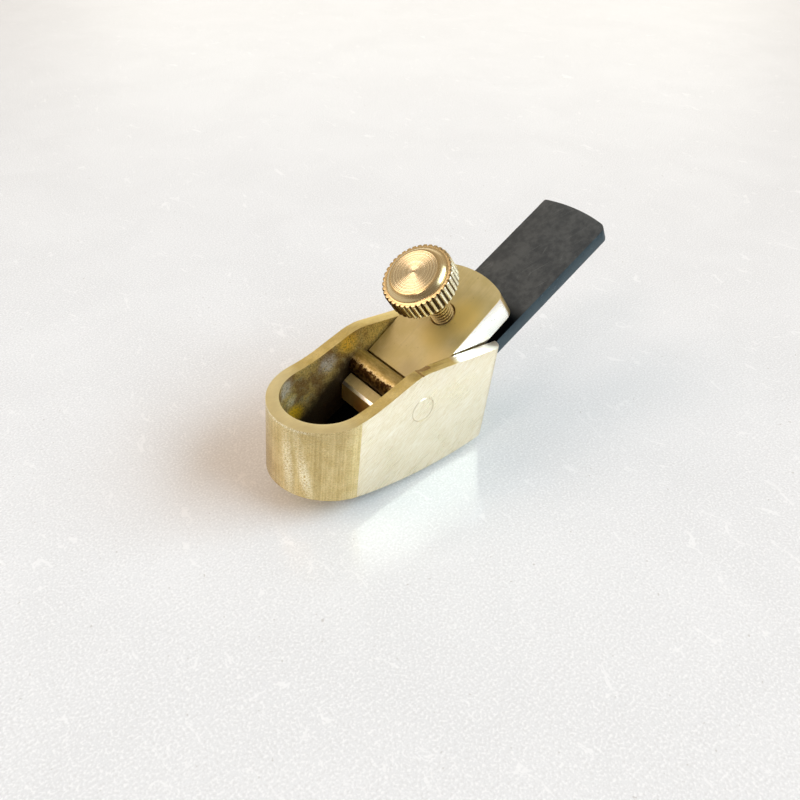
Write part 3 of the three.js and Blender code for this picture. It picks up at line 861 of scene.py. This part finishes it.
def edge_highlight():
    """The broken edge round the top of the nose, with a painted highlight."""
    s = Shader("brass_worn_edge", WALLS)
    grain = s.noise(s.mm, 2.6, 3.0, 0.65)
    # the painted highlight fades out towards the left cheek
    pale_marks = s.calc("MULTIPLY", s.fit(grain, 0.48, 0.58), s.fit(s.split(s.mm)[1], 5.0, 7.0, 1.0, 0.0))
    color = s.mix(pale_marks, (0.74, 0.59, 0.28), (1.0, 0.95, 0.74))
    s.set(base_color=color, metallic=1.0, roughness=s.fit(grain, 0.3, 0.7, 0.34, 0.5, False),
          normal=s.bump(grain, 0.02))
    return s.material


def cast_inside():
    """The hollow, left as cast: sandy skin with a dark patina, olive, gold and grey patches."""
    s = Shader("brass_cast_inside", WALLS)
    big = s.noise(s.mm, 0.32, 4.0, 0.6, 0.4)
    mid = s.noise(s.warp(s.mm, location=(7, 3, 5)), 0.9, 4.0, 0.65, 0.3)
    sand = s.noise(s.mm, 3.4, 4.0, 0.7)
    color = s.mix(s.fit(big, 0.38, 0.62), (0.32, 0.18, 0.05), (0.66, 0.46, 0.13))
    color = s.mix(s.fit(mid, 0.50, 0.66, 0.0, 0.7), color, (0.44, 0.36, 0.16))
    for centre, inner, outer, tint, least, most in HOLLOW_PATCHES:
        mask = s.calc("MULTIPLY", s.spot(centre, inner, outer), s.fit(mid, 0.35, 0.6, least, most))
        color = s.mix(mask, color, tint)
    color = s.mix(s.fit(sand, 0.32, 0.56, 0.66, 0.0), color, (0.07, 0.038, 0.012))
    color = s.mix(s.fit(sand, 0.62, 0.72, 0.0, 0.6), color, (0.88, 0.78, 0.50))
    # painted shade: dark towards the mouth and the bottom of the hollow
    x, _, z = s.split(s.mm)
    climb = s.calc("MULTIPLY", s.calc("SUBTRACT", 13.0, s.calc("MAXIMUM", x, 3.0)), 0.9)
    shade_depth = s.calc("ADD", s.calc("SUBTRACT", z, climb), s.calc("MULTIPLY", mid, 4.0))
    color = s.mix(s.fit(shade_depth, 7.6, 11.8, 0.95, 0.0), color, (0.022, 0.012, 0.006))
    height = s.calc("ADD", sand, s.calc("MULTIPLY", mid, 1.5))
    rough = s.fit(sand, 0.3, 0.7, 0.62, 0.40)
    s.set(base_color=color, metallic=0.5, roughness=rough, normal=s.bump(height, 0.06))
    return s.material


def cap_brass(name, low, high, angle, rough_low, rough_high, patches=()):
    """Sawn and filed faces of the lever cap, with small dark specks."""
    s = Shader(name, CAP)
    fine = s.noise(lined(s, angle, 0.10, 7.0), 1.0, 2.0, 0.6)
    cloud = s.noise(s.mm, 0.28, 3.0, 0.6)
    grain = s.noise(s.mm, 5.0, 3.0, 0.65)
    speck = s.fit(s.noise(s.warp(s.mm, location=(3, 9, 4)), 2.4, 2.0, 0.5), 0.70, 0.76)
    tone = s.mix(s.fit(cloud, 0.3, 0.7), low, high)
    color = s.mix(s.fit(fine, 0.35, 0.65, 0.22, 0.0), tone, tuple(0.6 * c for c in low))
    color = s.mix(s.calc("MULTIPLY", s.fit(grain, 0.62, 0.72), 0.3), color, tuple(0.5 * c for c in low))
    for centre, inner, outer, tint, most in patches:
        color = s.mix(s.calc("MULTIPLY", s.spot(centre, inner, outer), most), color, tint)
    color = s.mix(s.calc("MULTIPLY", speck, 0.6), color, (0.16, 0.10, 0.04))
    rough = s.fit(s.calc("ADD", fine, cloud), 0.7, 1.3, rough_low, rough_high, False)
    s.set(base_color=color, metallic=1.0, roughness=rough, normal=s.bump(s.calc("ADD", fine, grain), 0.005))
    return s.material


def from_axis(s):
    """Distance from the screw's axis and height along it."""
    x, y, z = s.split(s.mm)
    return s.calc("SQRT", s.calc("ADD", s.calc("MULTIPLY", x, x), s.calc("MULTIPLY", y, y))), z


def turned_brass(name, low, high, groove, rough):
    """Turned faces: fine concentric grooves round the screw's axis."""
    s = Shader(name, SCREW)
    radius, height = from_axis(s)
    flat = s.add("ShaderNodeCombineXYZ")
    s.plug(flat.inputs[0], radius)
    s.plug(flat.inputs[1], height)
    rings = s.noise(flat.outputs[0], 4.5, 3.0, 0.7)
    grain = s.noise(s.mm, 4.0, 3.0, 0.65)
    scratch = s.fit(s.noise(lined(s, (0, 0, 0.6), 0.12, 6.0), 1.0, 1.0, 0.5), 0.68, 0.74)
    tone = s.mix(s.fit(rings, 0.35, 0.65), low, high)
    color = s.mix(s.calc("MULTIPLY", s.fit(grain, 0.6, 0.7), 0.3), tone, tuple(0.55 * c for c in low))
    color = s.mix(s.calc("MULTIPLY", scratch, 0.4), color, tuple(0.5 * c for c in low))
    centre = s.fit(radius, 0.12, 0.26, 0.75, 0.0)
    color = s.mix(centre, color, (0.22, 0.13, 0.05))
    s.set(base_color=color, metallic=1.0, roughness=s.fit(grain, 0.3, 0.7, rough, rough + 0.12, False),
          normal=s.bump(rings, groove))
    return s.material


def knurl_brass():
    """Crests bright from handling, dark wax and oxide in the grooves of the knurl."""
    s = Shader("brass_knurl", SCREW)
    radius, _ = from_axis(s)
    grain = s.noise(s.mm, 4.0, 3.0, 0.65)
    color = s.mix(s.fit(radius, HEAD_R - 0.32, HEAD_R - 0.06), (0.09, 0.05, 0.015), KNURL_HIGH)
    # browner on the side towards the nose, paler on the left
    color = s.mix(s.spot((5.6, -1.2, 9.8), 2.2, 5.4), color, (0.09, 0.045, 0.012))
    crest = s.fit(radius, HEAD_R - 0.35, HEAD_R - 0.15)
    color = s.mix(s.calc("MULTIPLY", s.spot((-2.6, 5.4, 10.8), 2.2, 5.2), crest), color, (0.90, 0.82, 0.58))
    color = s.mix(s.calc("MULTIPLY", s.fit(grain, 0.55, 0.7), 0.35), color, (0.30, 0.19, 0.07))
    s.set(base_color=color, metallic=1.0, roughness=s.fit(grain, 0.3, 0.7, 0.22, 0.38, False),
          normal=s.bump(grain, 0.012))
    return s.material


def thread_brass():
    """Bright crests and dark grooves on the stud's thread."""
    s = Shader("brass_thread", SCREW)
    radius, _ = from_axis(s)
    grain = s.noise(s.mm, 4.0, 3.0, 0.65)
    color = s.mix(s.fit(radius, 1.70, 1.93), (0.05, 0.025, 0.008), (0.84, 0.64, 0.30))
    color = s.mix(s.calc("MULTIPLY", s.fit(grain, 0.55, 0.7), 0.4), color, (0.25, 0.14, 0.05))
    s.set(base_color=color, metallic=1.0, roughness=s.fit(grain, 0.3, 0.7, 0.22, 0.38, False),
          normal=s.bump(grain, 0.01))
    return s.material


def black_oxide(name, low, high, rough_low, rough_high, pale_marks, shine=0.5, shade_under_cap=True):
    """Blackened steel: matt and mottled, with faint scratches and small pale rubs."""
    s = Shader(name, IRON)
    cloud = s.noise(s.mm, 0.22, 4.0, 0.6, 0.3)
    mid = s.noise(s.warp(s.mm, location=(5, 2, 8)), 0.9, 4.0, 0.65)
    grain = s.noise(s.mm, 9.0, 2.0, 0.6)
    scratch = s.fit(s.noise(lined(s, (0, 0, 0.35), 0.16, 9.0), 1.0, 1.0, 0.5), 0.70, 0.76)
    rub = s.fit(s.noise(lined(s, (0, 0, -0.2), 0.9, 3.2, (2, 7, 1)), 1.0, 2.0, 0.5), 0.66, 0.76)
    color = s.mix(s.fit(s.calc("ADD", cloud, mid), 0.75, 1.25), low, high)
    color = s.mix(s.fit(grain, 0.55, 0.75, 0.0, 0.35), color, tuple(2.2 * c for c in high))
    color = s.mix(s.calc("MULTIPLY", scratch, 0.30), color, pale_marks)
    color = s.mix(s.calc("MULTIPLY", rub, 0.22), color, pale_marks)
    rough = s.fit(s.calc("ADD", mid, grain), 0.7, 1.3, rough_low, rough_high, False)
    # painted shade: black where the lever cap covers the iron
    painted_shade = 0.0
    if shade_under_cap:
        covered = s.calc("ADD", s.split(s.mm)[0], s.calc("MULTIPLY", mid, 2.0))
        painted_shade = s.fit(covered, -43.5, -39.5)
        color = s.mix(painted_shade, color, (0.005, 0.006, 0.007))
        rough = s.calc("MAXIMUM", rough, s.calc("MULTIPLY", painted_shade, 0.95))
    height = s.calc("ADD", grain, s.calc("MULTIPLY", mid, 0.5))
    height = s.calc("SUBTRACT", height, s.calc("MULTIPLY", scratch, 0.5))
    normal = s.bump(height, 0.01)
    # the painted shade is metallic so that its black has no gloss of its own
    s.set(base_color=color, metallic=painted_shade, roughness=rough, specular_ior_level=shine, normal=normal)
    return s.material


def ground_steel():
    """The ground bevel of the cutting edge, bare steel."""
    s = Shader("steel_ground_bevel", IRON)
    fine = s.noise(s.warp(s.mm, scale=(0.2, 9.0, 9.0), rotation=(0, 0, 1.2)), 1.0, 2.0, 0.6)
    grain = s.noise(s.mm, 5.0, 3.0, 0.65)
    color = s.mix(s.fit(fine, 0.3, 0.7), (0.30, 0.30, 0.31), (0.60, 0.60, 0.60))
    s.set(base_color=color, metallic=1.0, roughness=s.fit(grain, 0.3, 0.7, 0.25, 0.42, False),
          normal=s.bump(fine, 0.006))
    return s.material


def pin_brass():
    """The cross pin: dull brass, with painted shade underneath and a painted highlight line where the shade
    ends.
    """
    s = Shader("brass_pin", WALLS)
    x, _, z = s.split(s.mm)
    turn = s.calc("ARCTAN2", s.calc("SUBTRACT", z, PIN_Z), s.calc("SUBTRACT", x, PIN_X))
    streak = s.noise(s.warp(s.mm, scale=(1.6, 0.5, 1.6)), 1.0, 4.0, 0.65)
    ragged = s.noise(s.warp(s.mm, location=(2, 6, 4)), 1.3, 4.0, 0.7)
    grain = s.noise(s.mm, 5.0, 3.0, 0.65)
    turn = s.calc("ADD", turn, s.calc("MULTIPLY", ragged, 1.3))
    color = s.mix(s.fit(streak, 0.35, 0.65), (0.38, 0.28, 0.09), (0.58, 0.45, 0.18))
    # painted shade over the lower side of the pin
    painted_shade = s.mix(s.fit(ragged, 0.45, 0.65), (0.055, 0.025, 0.009), (0.26, 0.16, 0.05))
    color = s.mix(s.fit(turn, 1.22, 1.36), painted_shade, color)
    # painted highlight: a bright line where the painted shade ends
    highlight_line = s.calc("MULTIPLY", s.fit(turn, 1.24, 1.36), s.fit(turn, 1.40, 1.55, 0.6, 0.0))
    color = s.mix(highlight_line, color, (0.80, 0.68, 0.40))
    color = s.mix(s.fit(grain, 0.58, 0.70, 0.0, 0.5), color, (0.30, 0.18, 0.06))
    s.set(base_color=color, metallic=1.0, roughness=s.fit(grain, 0.3, 0.7, 0.40, 0.56, False),
          normal=s.bump(s.calc("ADD", streak, grain), 0.02))
    return s.material


def table_stone():
    """The table: pale stone with soft blotches, white flecks and a few dark dots."""
    s = Shader("table", Matrix.Identity(4))
    blotch = s.noise(s.mm, 0.035, 5.0, 0.6, 0.6)
    fleck = s.noise(s.warp(s.mm, scale=(1, 0.55, 1), rotation=(0, 0, 0.5)), 0.30, 4.0, 0.75, 1.0)
    grain = s.noise(s.mm, 2.6, 2.0, 0.6)
    dots = s.noise(s.warp(s.mm, location=(17, 5, 0)), 0.95, 2.0, 0.5)
    color = s.mix(s.fit(blotch, 0.3, 0.7), (0.775, 0.78, 0.785), (0.815, 0.82, 0.825))
    color = s.mix(s.fit(grain, 0.5, 0.66, 0.0, 0.85), color, (0.93, 0.93, 0.93))
    color = s.mix(s.fit(grain, 0.32, 0.46, 0.4, 0.0), color, (0.66, 0.65, 0.64))
    color = s.mix(s.fit(fleck, 0.61, 0.66, 0.0, 0.75), color, (0.91, 0.91, 0.91))
    color = s.mix(s.fit(dots, 0.72, 0.76, 0.0, 0.6), color, (0.52, 0.50, 0.47))
    s.set(base_color=color, roughness=s.fit(grain, 0.3, 0.7, 0.09, 0.15, False), ior=1.5)
    return s.material


def paint(obj, rule, *materials):
    """Gives each face the material whose index `rule` returns for it."""
    obj.data.materials.clear()
    for m in materials:
        obj.data.materials.append(m)
    for poly in obj.data.polygons:
        poly.material_index = rule(poly)


def body_rule(inverse):
    """0 cheek, 1 nose, 2 rim, 3 cast hollow, 4 sole and rear, 5 dent, 6 edge of the nose with a painted
    highlight.
    """
    turn = inverse.to_3x3()

    def rule(poly):
        c = inverse @ poly.center / MM
        n = (turn @ poly.normal).normalized()
        q = Matrix.Rotation(-NICK_TURN, 3, "Z") @ (c - Vector(NICK))
        if 0.85 < Vector((q.x / NICK_SIZE[0], q.y / NICK_SIZE[1], q.z / NICK_SIZE[2])).length < 1.15:
            return 5
        beyond_nose = c.x > NOSE_X
        radial = math.hypot(c.x - NOSE_X, c.y) if beyond_nose else abs(c.y)
        if abs(n.z) > 0.75 and c.z > 14 and not beyond_nose:
            return 2
        if n.z > 0.6 and c.z > 15.5 and beyond_nose:
            return 2
        if n.z < -0.7:
            return 4
        if 0.15 < n.z < 0.97 and radial > HALF_W - 0.4 and c.z > 12 and beyond_nose:
            return 6
        if radial < CAV_HALF_W + 0.25 and c.x > REAR_X + 0.3:
            return 3
        if c.x < REAR_X + 0.2 and n.x < -0.8:
            return 4
        return 1 if c.x > NOSE_X + 0.02 else 0
    return rule


side_mat = side_brass()
paint(
    body, body_rule(WALLS.inverted()),
    side_mat, nose_brass(), rim_brass("brass_filed_rim", RIM_LOW, RIM_HIGH, True), cast_inside(),
    rim_brass("brass_filed_sole", SOLE_LOW, SOLE_HIGH), dent_brass(), edge_highlight())
paint(pin, lambda poly: 0 if abs(poly.center.y) < HALF_W * MM - 2e-4 else 1, pin_brass(), side_mat)

turn_cap = CAP.inverted().to_3x3()
across = (0, 0, 1.57)


def cap_rule(poly):
    """0 top, 1 sides, 2 front and underside, 3 the lip's broken edge, 4 rear."""
    n = (turn_cap @ poly.normal).normalized()
    if abs(n.y) > 0.93:
        return 1
    if n.x < -0.3 and abs(n.z) < 0.6:
        return 4
    if 0.08 < n.x < 0.35 and n.z > 0.9:
        return 3
    return 0 if n.z > 0.8 else 2


paint(
    cap, cap_rule,
    cap_brass("brass_cap_top", (0.625, 0.54, 0.265), (0.735, 0.65, 0.37), (0, 0, 0), 0.64, 0.76,
              CAP_TOP_PATCHES),
    # near white: a painted sheen on the cap's sides
    cap_brass("brass_cap_side", (0.97, 0.92, 0.80), (1.0, 0.95, 0.86), (0, math.radians(15), 0), 0.2, 0.3),
    # deeper orange than the top: a painted reflection of the hollow
    cap_brass("brass_cap_front", (0.80, 0.58, 0.20), (0.88, 0.68, 0.28), across, 0.40, 0.55,
              CAP_FRONT_PATCHES),
    # near white: a painted highlight along the lip's broken edge
    cap_brass("brass_cap_edge", (0.93, 0.91, 0.82), (0.98, 0.97, 0.90), across, 0.27, 0.37),
    # darker: a painted dark reflection on the rear end and its rounded corners
    cap_brass("brass_cap_rear", (0.52, 0.39, 0.17), (0.66, 0.50, 0.24), across, 0.3, 0.45))

face_mat = turned_brass("brass_turned_face", (0.58, 0.475, 0.27), (0.79, 0.70, 0.49), 0.005, 0.15)
ring_mat = turned_brass("brass_turned_ring", (0.60, 0.45, 0.22), (0.74, 0.59, 0.33), 0.004, 0.17)
inverse_screw = SCREW.inverted()
turn_screw = inverse_screw.to_3x3()


def head_rule(poly):
    """0 turned face and underside, 1 knurl, 2 shoulder and ring round the face."""
    c = inverse_screw @ poly.center / MM
    n = turn_screw @ poly.normal
    radius = math.hypot(c.x, c.y)
    if radius > DISC_R + 0.3 and n.z < 0.9:
        return 1
    return 2 if radius > RING_INNER_R and c.z > HEAD_SHOULDER - 0.1 else 0


paint(head, head_rule, face_mat, knurl_brass(), ring_mat)
paint(stud, lambda poly: 0, thread_brass())

iron_top = black_oxide(
    "steel_black_oxide", (0.026, 0.032, 0.036), (0.066, 0.072, 0.073), 0.42, 0.60, (0.20, 0.21, 0.20))
iron_side = black_oxide(
    "steel_black_oxide_side", (0.008, 0.026, 0.036), (0.022, 0.045, 0.055), 0.36, 0.52, (0.22, 0.26, 0.28),
    shine=0.36, shade_under_cap=False)
inverse_iron = IRON.inverted()
turn_iron = inverse_iron.to_3x3()


def iron_rule(poly):
    """0 flat faces and rear end, 1 long sides, 2 ground bevel."""
    c = inverse_iron @ poly.center / MM
    n = turn_iron @ poly.normal
    if c.x > -6.5 and -0.6 > n.z > -0.95:
        return 2
    return 1 if abs(n.z) < 0.5 and c.x > -IRON_L + 1.5 else 0


paint(iron, iron_rule, iron_top, iron_side, ground_steel())

# ---------------------------------------------------------------- stage
bm = bmesh.new()
bmesh.ops.create_grid(bm, x_segments=2, y_segments=2, size=3.0)
floor = new_object("floor", bm)
floor.data.materials.append(table_stone())


# ---------------------------------------------------------------- light: a soft sky with a few windows
def window(sky, direction, azimuth, elevation, half_width, half_height, soft, color):
    """A soft rectangle of light; angles in degrees."""
    turn = Matrix.Rotation(math.radians(elevation), 3, "Y") @ Matrix.Rotation(-math.radians(azimuth), 3, "Z")
    node = sky.add("ShaderNodeMapping", vector_type="VECTOR")
    sky.plug(node.inputs["Vector"], direction)
    node.inputs["Rotation"].default_value = turn.to_euler("XYZ")
    x, y, z = sky.split(node.outputs["Vector"])
    front = sky.calc("MAXIMUM", x, 0.001)
    masks = []
    for value, half in ((y, half_width), (z, half_height)):
        ratio = sky.calc("DIVIDE", sky.calc("ABSOLUTE", value), front)
        inner, outer = math.tan(math.radians(half)), math.tan(math.radians(half + soft))
        masks.append(sky.fit(ratio, inner, outer, 1.0, 0.0))
    return sky.mix(sky.calc("MULTIPLY", *masks), (0.0, 0.0, 0.0), color)


def make_world():
    """The sky, with the windows added to it."""
    world = bpy.data.worlds.new("studio")
    bpy.context.scene.world = world
    world.use_nodes = True
    world.node_tree.nodes.clear()
    sky = Sky(world.node_tree)
    background = sky.add("ShaderNodeBackground")
    output = sky.add("ShaderNodeOutputWorld")
    sky.plug(output.inputs[0], background.outputs[0])
    direction = sky.add("ShaderNodeTexCoord").outputs["Generated"]
    toward = sky.add("ShaderNodeVectorMath", operation="DOT_PRODUCT")
    sky.plug(toward.inputs[0], direction)
    toward.inputs[1].default_value = SHADED_SIDE
    ceiling = sky.mix(sky.fit(sky.split(direction)[2], 0.25, 0.95), SKY_LOW, SKY_HIGH)
    light = sky.mix(sky.fit(toward.outputs["Value"], 0.1, 0.8), ceiling, SKY_SHADED)
    for spec in WINDOWS:
        light = sky.mix(1.0, light, window(sky, direction, *spec), "ADD")
    sky.plug(background.inputs["Color"], light)
    background.inputs["Strength"].default_value = 1.0


def make_camera():
    """The camera, at the photograph's viewing angle."""
    camera = bpy.data.objects.new("camera", bpy.data.cameras.new("camera"))
    bpy.context.scene.collection.objects.link(camera)
    bpy.context.scene.camera = camera
    camera.data.sensor_width = 36.0
    camera.data.lens = CAMERA_LENS
    camera.data.clip_start = 0.005
    camera.data.clip_end = 10
    camera.location = CAMERA_PLACE
    camera.rotation_euler = [math.radians(angle) for angle in CAMERA_TURN]


make_world()
make_camera()
bpy.context.scene.view_settings.view_transform = "Standard"

bpy.context.view_layer.update()
